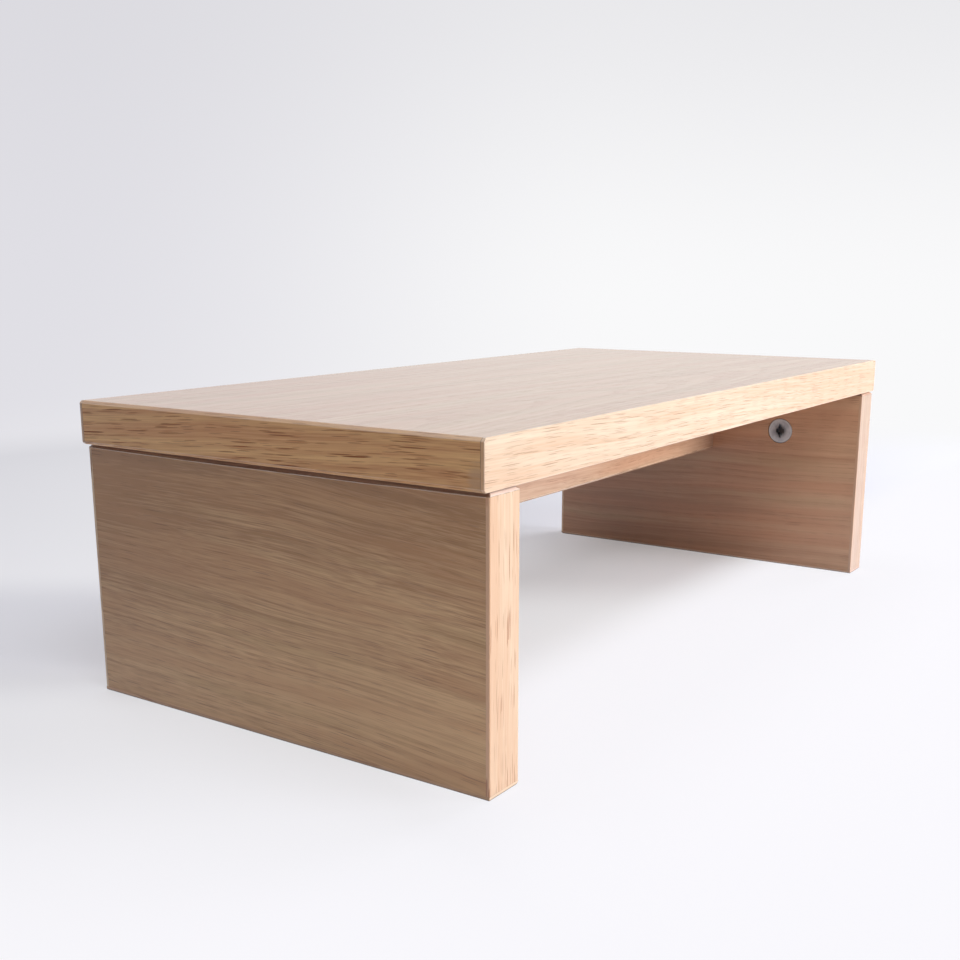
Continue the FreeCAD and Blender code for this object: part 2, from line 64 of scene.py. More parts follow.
def gridLines(low, high, nearLow, nearHigh, step):
    # Places along one edge of a block: even steps, plus the given distances from both ends.
    even = np.linspace(low, high, max(2, int(round((high - low) / step)) + 1))
    fine = np.concatenate([low + np.asarray(nearLow), high - np.asarray(nearHigh)])
    reachLow, reachHigh = low + max(nearLow), high - max(nearHigh)
    even = even[((even > reachLow) & (even < reachHigh)) | (even == low) | (even == high)]
    lines = np.unique(np.round(np.concatenate([even, fine]), 7))
    lines = lines[(lines > low + 2e-7) & (lines < high - 2e-7)]
    return np.concatenate([[low], lines, [high]])


def blockSurface(lines):
    # Six faces of a box. Each is the grid of two of the three lists of lines at the first or
    # last value of the third, turned to face outwards. Points that faces share are merged.
    points, quads, count = [], [], 0
    for axis in range(3):
        a, b = (axis + 1) % 3, (axis + 2) % 3
        across, along = np.meshgrid(lines[a], lines[b], indexing="ij")
        number = np.arange(across.size).reshape(across.shape)
        ring = [number[:-1, :-1], number[1:, :-1], number[1:, 1:], number[:-1, 1:]]
        for end in (0, -1):
            face = np.empty((across.size, 3))
            face[:, axis] = lines[axis][end]
            face[:, a] = across.ravel()
            face[:, b] = along.ravel()
            points.append(face)
            quads.append(np.stack(ring if end else ring[::-1], -1).reshape(-1, 4) + count)
            count += across.size
    points, quads = np.concatenate(points), np.concatenate(quads)
    _, kept, place = np.unique(np.round(points, 8), axis=0, return_index=True,
                               return_inverse=True)
    return points[kept], place.reshape(-1)[quads]


# Faces of a board, each as its axis and side
left, right, fore, rear, down, up = (0, -1), (0, 1), (1, -1), (1, 1), (2, -1), (2, 1)

# How arrises are cut: width, softness and greatest width in millimetres, unevenness and swell
# as shares of the width, and how much a cut beside an upper face shows the cut colour
arrisKinds = {
    "bevel": {"width": 1.2, "soft": 0.22, "uneven": 0.09, "swell": 0.0, "most": 1.45,
              "cutShare": 1.0},
    "fine": {"width": 0.3, "soft": 0.25, "uneven": 0.2, "swell": 0.0, "most": 0.5, "cutShare": 0.5},
    "ease": {"width": 0.2, "soft": 0.2, "uneven": 0.1, "swell": 0.0, "most": 0.4, "cutShare": 1.0},
    "legSide": {"width": 1.62, "soft": 0.2, "uneven": 0.07, "swell": 0.28, "most": 2.05,
                "cutShare": 1.0},
    "legEnd": {"width": 1.36, "soft": 0.12, "uneven": 0.05, "swell": 0.0, "most": 1.45,
               "cutShare": 0.0},
}
# Millimetres over which painted shade and a glue line fade, and rows of points for the second
fading = {"contactShade": 0.45, "glue": 0.15, "glueRows": (0.07, 0.15, 0.3)}
fadeStart = 1.3  # a value that fades evenly starts above 1, so that it has a flat top


def cutArrises(points, low, high, arrises):
    # Each arris is planed off at 45 degrees: where a point's gaps to the two faces add up to
    # less than the width, it moves in by half of what is missing, square to the cut. The
    # change from face to cut is a parabola over the softness, so the new arrises are round.
    # The width swells by half a sine along the arris, and the hand's wave is added to it.
    # Returned are worn, 1 on the new arrises, and how much the cuts show the cut colour.
    worn, cutTone = np.zeros(len(points)), np.zeros(len(points))
    for arris in arrises:
        gaps = arris["above"]
        for axis, side in arris["faces"]:
            gaps = gaps + (high[axis] - points[:, axis] if side > 0
                           else points[:, axis] - low[axis])
        lengthwise = 3 - arris["faces"][0][0] - arris["faces"][1][0]
        wave = gentleWave(points[:, lengthwise], arris["seed"])
        share = ((points[:, lengthwise] - low[lengthwise])
                 / (high[lengthwise] - low[lengthwise])).clip(0, 1)
        swell = 1 + arris["uneven"] * wave + arris["swell"] * np.sin(np.pi * share)
        short = np.minimum(arris["width"] * swell, arris["most"]) - gaps
        soft = arris["soft"]
        push = np.where(short > soft, short, np.clip(short + soft, 0, None) ** 2 / (4 * soft))
        worn = np.maximum(worn, np.clip(fadeStart - np.abs(short) / soft, 0, 1))
        cutTone = np.maximum(cutTone, arris["cutShare"] * np.clip(short / soft, 0, 1))
        for axis, side in arris["faces"]:
            points[:, axis] -= side * push / 2
    return worn, cutTone


def addMesh(name, points, faces):
    # Puts arrays of points and of faces into a mesh object, smooth but for edges that turn by
    # more than 35 degrees.
    mesh = bpy.data.meshes.new(name)
    mesh.from_pydata(points.tolist(), [], faces.tolist())
    mesh.polygons.foreach_set("use_smooth", np.ones(len(mesh.polygons), bool))
    mesh.set_sharp_from_angle(angle=math.radians(35))
    mesh.update()
    piece = bpy.data.objects.new(name, mesh)
    bpy.context.scene.collection.objects.link(piece)
    return piece


def addValues(piece, name, values):
    # Gives every point of a piece one number, which materials read under the name.
    layer = piece.data.attributes.new(name, "FLOAT", "POINT")
    layer.data.foreach_set("value", values.astype(np.float32))


def edgingStrip(name, cadNode, strip, seams):
    # A strip or sheet that stands for one CAD node: that node's box with its arrises cut. A cut
    # may start above the strip, in the piece that lies on it. The value seam is 1 at the glue
    # lines, and the painted-shade value is 1 at the top of a strip that closes a joint or at the
    # foot of one that stands on the floor. Both fall evenly with the distance.
    low, high = (np.array(corner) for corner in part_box(cadNode))
    near = {(axis, side): {0.0} for axis in range(3) for side in (-1, 1)}
    arrises = []
    for first, second, kind in strip["arrises"]:
        cut = arrisKinds[kind]
        above = strip.get("above", 0.0) * mm if up in (first, second) else 0.0
        width, soft = cut["width"] * mm - above, cut["soft"] * mm
        # Rows of points where the cut bends, and close rows all over one that swells
        steps = {0.0, width / 2, width - soft, width - soft / 2, width, width + soft / 2,
                 width + soft, width + soft + 0.1 * mm, width + 0.5 * mm}
        if cut["swell"]:
            deepest = cut["most"] * mm - above + 1.5 * soft
            steps |= set(np.arange(0, deepest, 0.13 * mm)) | {deepest}
        near[first] |= {s for s in steps if s >= 0}
        near[second] |= {s for s in steps if s >= 0}
        seed = 7 * (9 * first[0] + 3 * first[1] + 5 * second[0] + second[1]) + 101
        arrises.append({"faces": (first, second), "width": width + above, "soft": soft,
                        "above": above, "uneven": cut["uneven"], "swell": cut["swell"],
                        "most": cut["most"] * mm, "seed": seed,
                        "cutShare": cut["cutShare"] * (up in (first, second))})
    for seam in seams:
        near[seam] |= {row * mm for row in fading["glueRows"]}
    lines = [gridLines(low[axis], high[axis], sorted(near[(axis, -1)]), sorted(near[(axis, 1)]),
                       strip["step"] * mm) for axis in range(3)]
    points, faces = blockSurface(lines)
    glued = np.zeros(len(points))
    for axis, side in seams:
        gap = high[axis] - points[:, axis] if side > 0 else points[:, axis] - low[axis]
        glued = np.maximum(glued, np.clip(fadeStart - gap / (fading["glue"] * mm), 0, 1))
    worn, cutTone = cutArrises(points, low, high, arrises)
    contactShade = np.zeros(len(points))
    for end, gap in (("joint", high[2] - points[:, 2]), ("foot", points[:, 2] - low[2])):
        if end in strip:
            contactShade = np.maximum(contactShade, np.clip(strip[end] - gap / (fading["contactShade"] * mm), 0, 1))
    a, b, c, d = (points[faces[:, corner]] for corner in range(4))
    doubleArea = np.linalg.norm(np.cross(c - a, d - b), axis=1)
    piece = addMesh(name, points, faces[doubleArea > 1e-13])  # faces cut down to a line go
    for label, values in (("worn", worn), ("cutTone", cutTone), ("seam", glued), ("contactShade", contactShade)):
        addValues(piece, label, values)
    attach(piece, "riser")
    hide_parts(cadNode)
    return piece


# Materials


def addNode(tree, kind, inputs=None, **settings):
    # Adds a node. Inputs are named or numbered: a socket is linked, anything else is set.
    made = tree.nodes.new(kind)
    for name, value in settings.items():
        setattr(made, name, value)
    for name, value in (inputs or {}).items():
        if isinstance(value, bpy.types.NodeSocket):
            tree.links.new(value, made.inputs[name])
        else:
            made.inputs[name].default_value = value
    return made


def maths(tree, operation, first, second=0.0, third=0.0):
    # One step of arithmetic on numbers or sockets. MULTIPLY_ADD is first x second + third.
    return addNode(tree, "ShaderNodeMath", {0: first, 1: second, 2: third},
                   operation=operation).outputs[0]


def stretched(tree, place, along, across):
    # Scales a place in millimetres along and across the grain.
    return addNode(tree, "ShaderNodeVectorMath", {0: place, 1: (along, across, across)},
                   operation="MULTIPLY").outputs[0]


def noise(tree, place, along, across, detail=2.0, roughness=0.5):
    # Noise drawn out along the grain: waves per millimetre along and across it.
    return addNode(tree, "ShaderNodeTexNoise",
                   {"Vector": stretched(tree, place, along, across), "Scale": 1.0,
                    "Detail": detail, "Roughness": roughness})


def between(tree, value, low, high, bottom=0.0, top=1.0, smooth=True):
    # Goes from bottom to top while the value goes from low to high, and is level outside.
    return addNode(tree, "ShaderNodeMapRange",
                   {"Value": value, "From Min": low, "From Max": high, "To Min": bottom,
                    "To Max": top},
                   interpolation_type="SMOOTHSTEP" if smooth else "LINEAR").outputs["Result"]


def blendColours(tree, share, first, second):
    # The first colour at share 0, the second at 1.
    made = addNode(tree, "ShaderNodeMix", {"Factor": share}, data_type="RGBA")
    for socket, value in (("A", first), ("B", second)):
        target = [s for s in made.inputs if s.name == socket and s.type == "RGBA"][0]
        if isinstance(value, bpy.types.NodeSocket):
            tree.links.new(value, target)
        else:
            target.default_value = value
    return [s for s in made.outputs if s.type == "RGBA"][0]


def linear(red, green, blue):
    # Screen colour, 0 to 255, as the linear colour that a shader takes: a straight line near
    # black, and above it the power 2.4 of the shifted value.
    parts = np.array([red, green, blue]) / 255
    made = np.where(parts <= 0.04045, parts / 12.92, ((parts + 0.055) / 1.055) ** 2.4)
    return (*made.tolist(), 1.0)


def emptyTree(owner):
    # The node tree of a material or of the world, with nothing in it.
    owner.use_nodes = True
    owner.node_tree.nodes.clear()
    return owner.node_tree


def startMaterial(name):
    # A material with one surface shader, whose sockets the caller fills.
    material = bpy.data.materials.new(name)
    tree = emptyTree(material)
    shader = addNode(tree, "ShaderNodeBsdfPrincipled")
    addNode(tree, "ShaderNodeOutputMaterial", {"Surface": shader.outputs[0]})
    return material, tree, shader


def seenDirectly(tree):
    # 1 for rays from the camera, off gloss and through glass, 0 for the light of the room.
    rays = addNode(tree, "ShaderNodeLightPath").outputs
    seen = maths(tree, "MAXIMUM", rays["Is Camera Ray"], rays["Is Glossy Ray"])
    return maths(tree, "MAXIMUM", seen, rays["Is Transmission Ray"])


# The four noises of the grain, from broad to fine: waves per millimetre along and across it,
# detail, and which of the wood's values says how much tone it adds
grainNoises = ((0.004, 0.085, 1.0, "broad"), (0.008, 0.33, 2.0, "streak"),
               (0.024, 1.1, 2.0, "fibre"), (0.065, 2.2, 1.0, "hair"))

# What every oak shares: waves per millimetre along and across the grain, parts of a ring, and
# ramps of a noise or a distance
oakRules = {
    "driftWaves": (0.0075, 0.02), "patchWaves": (0.007, 0.11), "glueWaves": (0.25, 0.25),
    "ringWaves": 0.45, "ringWaver": 3.0, "bandStart": (0.0, 0.07), "bandEnd": (0.1, 0.62),
    "warmRamp": (0.45, 0.66), "coolRamp": (0.3, 0.46), "fibreRamp": (0.3, 0.75),
    "glueRamp": (0.38, 0.58), "endRamp": (0.3, 0.95), "fillerRamp": (1.3, 2.2),
    "fillerFray": 1.6, "fillerShare": 0.7, "poreSlant": 0.35, "poreKept": (-0.02, 0.1),
    "poreEdge": (-0.03, 0.07), "shortPores": 0.7, "wornLacquer": 0.7, "relief": 0.08,
}


def oak(name, wood):
    # Oak in the board's own millimetres: along the grain, across it and into the board.
    # Growth rings are circles round a pith line that leans and bows away from the board. Each
    # ring starts sharply with a porous, darker band and closes smooth and pale.
    material, tree, shader = startMaterial(name)
    place = addNode(tree, "ShaderNodeTexCoord").outputs["Object"]
    parts = addNode(tree, "ShaderNodeSeparateXYZ", {0: place})
    swapped = addNode(tree, "ShaderNodeCombineXYZ",
                      {row: parts.outputs[axis] for row, axis in enumerate(wood["axes"])})
    board = addNode(tree, "ShaderNodeMapping",
                    {"Vector": swapped.outputs[0], "Location": wood["offset"],
                     "Rotation": (0, 0, math.radians(wood["slope"])),
                     "Scale": (1000, 1000, 1000)}).outputs[0]

    drift = noise(tree, board, *oakRules["driftWaves"], 1.0).outputs["Color"]
    centred = addNode(tree, "ShaderNodeVectorMath", {0: drift, 1: (0.5, 0.5, 0.5)},
                      operation="SUBTRACT").outputs[0]
    warped = addNode(tree, "ShaderNodeVectorMath",
                     {0: centred, 1: (0, wood["waver"], wood["waver"]), 2: board},
                     operation="MULTIPLY_ADD").outputs[0]
    axes = addNode(tree, "ShaderNodeSeparateXYZ", {0: warped})
    bend = maths(tree, "MULTIPLY_ADD", axes.outputs[0], wood["bow"], wood["lean"][0])
    sideways = maths(tree, "MULTIPLY_ADD", axes.outputs[0], bend, axes.outputs[1])
    deep = maths(tree, "MULTIPLY_ADD", axes.outputs[0], wood["lean"][1], axes.outputs[2])
    radius = maths(tree, "SQRT", maths(tree, "ADD", maths(tree, "MULTIPLY", sideways, sideways),
                                       maths(tree, "MULTIPLY", deep, deep)))
    # The ring's number wavers, so wide and narrow rings alternate
    rings = maths(tree, "DIVIDE", radius, wood["ring"])
    uneven = addNode(tree, "ShaderNodeTexNoise",
                     {"W": rings, "Scale": oakRules["ringWaves"], "Detail": 2.0},
                     noise_dimensions="1D").outputs[0]
    phase = maths(tree, "FRACT",
                  maths(tree, "MULTIPLY_ADD", uneven, oakRules["ringWaver"], rings))
    early = maths(tree, "MULTIPLY", between(tree, phase, *oakRules["bandStart"]),
                  between(tree, phase, *oakRules["bandEnd"], 1.0, 0.0))

    # Tone: the mean, the porous band, painted shade over the board and the four noises, which
    # follow the rings
    grain = addNode(tree, "ShaderNodeCombineXYZ",
                    {0: axes.outputs[0], 1: sideways, 2: deep}).outputs[0]
    streaks = [(noise(tree, grain, along, across, detail, 0.6).outputs[0], wood[strength])
               for along, across, detail, strength in grainNoises]
    tone = maths(tree, "MULTIPLY_ADD", early, wood["ringTone"], wood["middle"])
    flat = addNode(tree, "ShaderNodeSeparateXYZ", {0: board})
    # Painted shade: ramps that darken a board where less light falls on it
    for way, low, high, bottom, top in wood["paintedShades"]:
        paintedShade = between(tree, flat.outputs[way], low, high, bottom, top)
        tone = maths(tree, "ADD", tone, paintedShade)
    for value, share in streaks:
        tone = maths(tree, "ADD", tone, between(tree, value, 0.3, 0.7, -share, share, False))
    tone = maths(tree, "MAXIMUM", maths(tree, "MINIMUM", tone, 1.0), 0.0)
    fibres, hairs = streaks[2][0], streaks[3][0]

    # Pores: long thin cells in two sizes. Each cell's own random colour draws whether it is
    # kept, more often in the porous band, and how big and how dark it is.
    row = maths(tree, "MULTIPLY_ADD", deep, oakRules["poreSlant"], sideways)
    pores = []
    for length, gap, size, rich, rare in wood["pores"]:
        spot = addNode(tree, "ShaderNodeCombineXYZ", {
            0: maths(tree, "DIVIDE", axes.outputs[0], length), 1: maths(tree, "DIVIDE", row, gap)})
        cells = addNode(tree, "ShaderNodeTexVoronoi",
                        {"Vector": spot.outputs[0], "Scale": 1.0, "Randomness": 1.0},
                        voronoi_dimensions="2D", feature="F1")
        draw = addNode(tree, "ShaderNodeSeparateXYZ", {0: cells.outputs["Color"]}).outputs
        chance = maths(tree, "MULTIPLY_ADD", early, rich - rare, rare)
        kept = between(tree, maths(tree, "SUBTRACT", chance, draw[0]), *oakRules["poreKept"])
        reach = maths(tree, "MULTIPLY_ADD", draw[1], 0.55 * size, 0.6 * size)
        inside = maths(tree, "SUBTRACT", reach, cells.outputs["Distance"])
        mark = maths(tree, "MULTIPLY", kept, between(tree, inside, *oakRules["poreEdge"]))
        weight = maths(tree, "MULTIPLY_ADD", draw[2], 0.65, 0.35)
        pores.append(maths(tree, "MULTIPLY", mark, weight))
    pore = maths(tree, "MAXIMUM", pores[0],
                 maths(tree, "MULTIPLY", pores[1], oakRules["shortPores"]))

    # Base colour by tone, with warm and cool patches
    colour = blendColours(tree, tone, linear(*wood["light"]), linear(*wood["dark"]))
    patches = noise(tree, grain, *oakRules["patchWaves"]).outputs[0]
    warmth = between(tree, patches, *oakRules["warmRamp"], 0.0, wood["warmth"])
    colour = blendColours(tree, warmth, colour, linear(*wood["warm"]))
    coolness = between(tree, patches, *oakRules["coolRamp"], wood["coolness"], 0.0)
    colour = blendColours(tree, coolness, colour, linear(*wood["cool"]))
    inked = maths(tree, "MULTIPLY", pore, wood["poreStrength"])
    if "smear" in wood:
        # An oval of filler, greyish and without pores, with an edge that the fibres fray
        aim, reach = wood["smear"]
        away = addNode(tree, "ShaderNodeVectorMath", {0: board, 1: aim}, operation="SUBTRACT")
        far = addNode(tree, "ShaderNodeVectorMath",
                      {0: away.outputs[0], 1: tuple(1 / way for way in reach)},
                      operation="MULTIPLY")
        edge = addNode(tree, "ShaderNodeVectorMath", {0: far.outputs[0]}, operation="LENGTH")
        frayed = maths(tree, "MULTIPLY_ADD", fibres, oakRules["fillerFray"],
                       edge.outputs["Value"])
        filled = between(tree, frayed, *oakRules["fillerRamp"], 1.0, 0.0)
        colour = blendColours(tree, maths(tree, "MULTIPLY", filled, oakRules["fillerShare"]),
                              colour, linear(*wood["filler"]))
        inked = maths(tree, "MULTIPLY", inked, maths(tree, "SUBTRACT", 1.0, filled))
    colour = blendColours(tree, inked, colour, linear(*wood["pore"]))

    # End grain drinks the finish and goes darker; on the legs' top and foot strips the end colour
    # is paler instead, painted light on the lit fronts
    facing = addNode(tree, "ShaderNodeNewGeometry").outputs["Normal"]
    grainWay = tuple(1.0 if axis == wood["axes"][0] else 0.0 for axis in range(3))
    across = addNode(tree, "ShaderNodeVectorMath", {0: facing, 1: grainWay},
                     operation="DOT_PRODUCT").outputs["Value"]
    endways = between(tree, maths(tree, "ABSOLUTE", across), *oakRules["endRamp"])
    colour = blendColours(tree, maths(tree, "MULTIPLY", endways, wood["endGrainShare"]), colour,
                          linear(*wood["end"]))

    # Cuts show bare wood, on the legs' top strips a painted shade; arrises go pale, from wear and
    # a painted highlight; glue lines are dark and broken; painted shade lies along joints and feet
    cutTone = addNode(tree, "ShaderNodeAttribute", attribute_name="cutTone").outputs["Fac"]
    cutShare = maths(tree, "MULTIPLY", cutTone,
                 between(tree, fibres, *oakRules["fibreRamp"], 0.6, 1.0))
    colour = blendColours(tree, maths(tree, "MULTIPLY", cutShare, wood["cutShare"]), colour,
                          linear(*wood["cutTone"]))
    worn = addNode(tree, "ShaderNodeAttribute", attribute_name="worn").outputs["Fac"]
    # Arrises go pale: wear, and a painted highlight where a rounded arris would catch the light
    paleEdge = maths(tree, "MULTIPLY", worn,
                   between(tree, fibres, *oakRules["fibreRamp"], 0.55, 1.0))
    colour = blendColours(tree, maths(tree, "MULTIPLY", paleEdge, wood["paleEdgeShare"]), colour,
                          linear(*wood["paleEdge"]))
    seam = addNode(tree, "ShaderNodeAttribute", attribute_name="seam").outputs["Fac"]
    gaps = noise(tree, board, *oakRules["glueWaves"], 2.0, 0.6).outputs[0]
    line = maths(tree, "MULTIPLY", seam, between(tree, gaps, *oakRules["glueRamp"], 0.35, 1.0))
    colour = blendColours(tree, maths(tree, "MULTIPLY", line, wood["glue"]), colour,
                          linear(*wood["glueLine"]))
    # Painted shade along the joint under the top and along the foot
    contactShade = addNode(tree, "ShaderNodeAttribute", attribute_name="contactShade").outputs["Fac"]
    colour = blendColours(tree, maths(tree, "MULTIPLY", contactShade, wood["contactShadeShare"]), colour,
                          linear(*wood["contactShade"]))
    tree.links.new(colour, shader.inputs["Base Color"])

    # Fibres and pores are rougher than the wood between them
    sheen = maths(tree, "MULTIPLY_ADD", fibres, 0.14, wood["rough"] - 0.07)
    sheen = maths(tree, "MULTIPLY_ADD", pore, 0.25, sheen)
    tree.links.new(sheen, shader.inputs["Roughness"])
    # The lacquer is rubbed thin on arrises and sinks into open pores
    thinned = maths(tree, "MULTIPLY_ADD", worn, -oakRules["wornLacquer"], 1.0)
    sunken = maths(tree, "MULTIPLY_ADD", pore, -wood["dull"], 1.0)
    thinned = maths(tree, "MULTIPLY", thinned, sunken)
    tree.links.new(maths(tree, "MULTIPLY", thinned, wood["lacquer"]),
                   shader.inputs["Coat Weight"])
    shader.inputs["Coat Roughness"].default_value = wood["lacquerRough"]
    relief = maths(tree, "MULTIPLY_ADD", pore, -1.0, maths(tree, "MULTIPLY", fibres, 0.25))
    relief = maths(tree, "MULTIPLY_ADD", hairs, 0.12, relief)
    bump = addNode(tree, "ShaderNodeBump", {"Height": relief, "Strength": wood["bump"],
                                            "Distance": oakRules["relief"] * mm})
    tree.links.new(bump.outputs[0], shader.inputs["Normal"])
    return material


def chipboard(name, chips):
    # Pressed chips: cells flattened along the board's upright axis, each with its own brown,
    # and dark gaps
    material, tree, shader = startMaterial(name)
    place = addNode(tree, "ShaderNodeTexCoord").outputs["Object"]
    flat = addNode(tree, "ShaderNodeMapping", {"Vector": place, "Scale": chips["perMetre"]})
    cells = addNode(tree, "ShaderNodeTexVoronoi", {"Vector": flat.outputs[0], "Scale": 1.0})
    grey = addNode(tree, "ShaderNodeSeparateXYZ", {0: cells.outputs["Color"]}).outputs[0]
    colour = blendColours(tree, grey, linear(*chips["light"]), linear(*chips["dark"]))
    gap = between(tree, cells.outputs["Distance"], 0.45, 0.8)
    colour = blendColours(tree, maths(tree, "MULTIPLY", gap, 0.6), colour,
                          linear(*chips["gap"]))
    tree.links.new(colour, shader.inputs["Base Color"])
    bump = addNode(tree, "ShaderNodeBump", {"Height": grey, "Strength": 0.5, "Distance": 0.2 * mm})
    tree.links.new(bump.outputs[0], shader.inputs["Normal"])
    shader.inputs["Roughness"].default_value = 0.85
    return material


def castMetal(name, metal, hub=None):
    # Die-cast or drawn metal: a fine mottle in gloss and height, and cloudier patches. Round a
    # hub or its mirror image, painted shade darkens the face in and round the drive slot and
    # fades over the reach. Over the rim the metal gets brighter, where it is rubbed.
    material, tree, shader = startMaterial(name)
    place = addNode(tree, "ShaderNodeTexCoord").outputs["Object"]
    speck = addNode(tree, "ShaderNodeTexNoise", {"Vector": place, "Scale": metal["speck"],
                                                 "Detail": 3.0}).outputs[0]
    cloud = addNode(tree, "ShaderNodeTexNoise", {"Vector": place, "Scale": metal["cloud"],
                                                 "Detail": 2.0}).outputs[0]
    colour = blendColours(tree, between(tree, cloud, 0.35, 0.65), linear(*metal["light"]),
                          linear(*metal["dark"]))
    if hub:
        mirrored = addNode(tree, "ShaderNodeVectorMath", {0: place}, operation="ABSOLUTE")
        flat = addNode(tree, "ShaderNodeVectorMath",
                       {0: mirrored.outputs[0], 1: hub["mask"]}, operation="MULTIPLY")
        away = addNode(tree, "ShaderNodeVectorMath", {0: flat.outputs[0], 1: hub["axis"]},
                       operation="DISTANCE").outputs["Value"]
        away = maths(tree, "MULTIPLY_ADD", cloud, 0.8 * mm, away)
        slotShaded = between(tree, away, hub["reach"][0] * mm, hub["reach"][1] * mm,
                        metal["slotShadeShare"], 0.0)
        colour = blendColours(tree, slotShaded, colour, linear(*metal["slotShade"]))
        rim = between(tree, away, hub["rim"][0] * mm, hub["rim"][1] * mm,
                      0.0, metal["rubShare"])
        colour = blendColours(tree, rim, colour, linear(*metal["paleEdge"]))
    tree.links.new(colour, shader.inputs["Base Color"])
    tree.links.new(between(tree, speck, 0.3, 0.7, metal["rough"] - 0.07, metal["rough"] + 0.1),
                   shader.inputs["Roughness"])
    bump = addNode(tree, "ShaderNodeBump", {"Height": speck, "Strength": 0.35,
                                            "Distance": 0.03 * mm})
    tree.links.new(bump.outputs[0], shader.inputs["Normal"])
    shader.inputs["Metallic"].default_value = 1.0
    return material


def dress(nodeName, material):
    # Gives a CAD node one material.
    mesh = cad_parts[nodeName].data
    mesh.materials.clear()
    mesh.materials.append(material)


# Oak as it is cut for the faces. Lengths are in millimetres, colours as on a screen.
# axes: the frame's axes in the order along the grain, across it and into the board.
# offset, slope, lean, bow: where the board lay in the log, and how the pith runs by it.
# ring, ringTone, middle: width of the rings, how much darker they start, and the mean tone.
# broad, streak, fibre, hair: how much tone the four noises add, from broad to fine.
# The painted shades: ramps of tone over a board, 0 along the grain, 1 across or 2 into it,
# from where to where, and the tone added at either end.
# pores: two sizes, each the length and the gap of its cells, the share of a cell that it
# fills, and how often it is there in the porous band and elsewhere.
# dull: share of the lacquer that sinks into a pore.
veneerWood = {
    "axes": (0, 1, 2), "offset": (0, 0, 0), "slope": 0.0, "lean": (0.0, 0.0), "bow": 0.0,
    "waver": 8.0, "ring": 3.4, "ringTone": 0.2, "middle": 0.4, "paintedShades": (), "dull": 0.0,
    "broad": 0.17, "streak": 0.18, "fibre": 0.22, "hair": 0.13,
    "light": (224, 190, 156), "dark": (188, 146, 112), "warm": (208, 158, 126), "warmth": 0.45,
    "cool": (192, 164, 126), "coolness": 0.35,
    "pore": (142, 100, 72), "poreStrength": 0.6,
    "pores": ((17.0, 0.5, 0.27, 0.55, 0.05), (9.0, 0.34, 0.3, 0.5, 0.14)),
    "end": (176, 132, 100), "endGrainShare": 0.7, "paleEdge": (240, 220, 200), "paleEdgeShare": 0.0,
    "cutTone": (224, 196, 176), "cutShare": 0.0, "glue": 0.0, "glueLine": (92, 62, 44),
    # Colour and share of the painted shade at joints and feet
    "contactShade": (62, 42, 34), "contactShadeShare": 0.9,
    "rough": 0.46, "bump": 0.35, "lacquer": 1.0, "lacquerRough": 0.22,
}
edgingWood = dict(veneerWood, waver=6.0, ring=2.8, ringTone=0.3, broad=0.16, streak=0.24,
                  fibre=0.26, hair=0.12, light=(234, 209, 176), dark=(208, 164, 124),
                  warm=(222, 172, 132), warmth=0.4, cool=(214, 188, 146), coolness=0.3,
                  pore=(140, 84, 46),
                  pores=((30.0, 0.52, 0.28, 0.9, 0.22), (16.0, 0.34, 0.3, 0.7, 0.3)),
                  # Arrises half pale: wear, and a painted highlight
                  poreStrength=0.78, paleEdgeShare=0.45, cutShare=0.55, glue=0.7, rough=0.42, bump=0.6)

# Top board. The smear is the middle of the filler, in the grain's own millimetres, and its
# reach along the grain, across it and into the board.

topBoard = {
    "faceGrain": dict(veneerWood, offset=(40, 60, -78), lean=(0.03, 0.05), streak=0.13,
                      fibre=0.15, hair=0.07),
    "undersideGrain": dict(veneerWood, offset=(300, -30, -40), lean=(0, -0.05)),
    "frontEdging": dict(edgingWood, axes=(0, 2, 1), offset=(0, -60, 46), slope=2.0,
                        pores=((24.0, 0.55, 0.25, 0.8, 0.4), (13.0, 0.38, 0.27, 0.6, 0.4)),
                        # Painted shade: darker towards the far right end
                        poreStrength=0.62, paintedShades=((0, -40, 150, 0.0, 0.45),), broad=0.1,
                        streak=0.15, fibre=0.2, ringTone=0.2, end=(208, 158, 108),
                        endGrainShare=0.9, light=(238, 216, 188), dark=(216, 176, 140)),
    "rearEdging": dict(edgingWood, axes=(0, 2, 1), offset=(700, -150, -20), slope=-1.5),
    "leftEdging": dict(edgingWood, axes=(1, 2, 0), offset=(0, -140, 190), slope=2.5,
                       # Partly painted shade: yellower and darker than the front strip, on the side
                       # turned from the light
                       light=(234, 183, 115), dark=(196, 133, 69), warm=(206, 138, 73),
                       cool=(208, 165, 93), pore=(128, 66, 16), waver=9.0, ringTone=0.36,
                       glueLine=(96, 52, 24), poreStrength=0.95, dull=0.85, fibre=0.32,
                       hair=0.18,
                       pores=((28.0, 1.15, 0.25, 0.9, 0.5), (14.0, 0.75, 0.25, 0.8, 0.45)),
                       smear=((-102.2, -35.1, -13.0), (3.6, 6.5, 30.0)),
                       filler=(188, 145, 102)),
    "rightEdging": dict(edgingWood, axes=(1, 2, 0), offset=(500, -90, -230), slope=1.0),
    "step": 4.0,
}


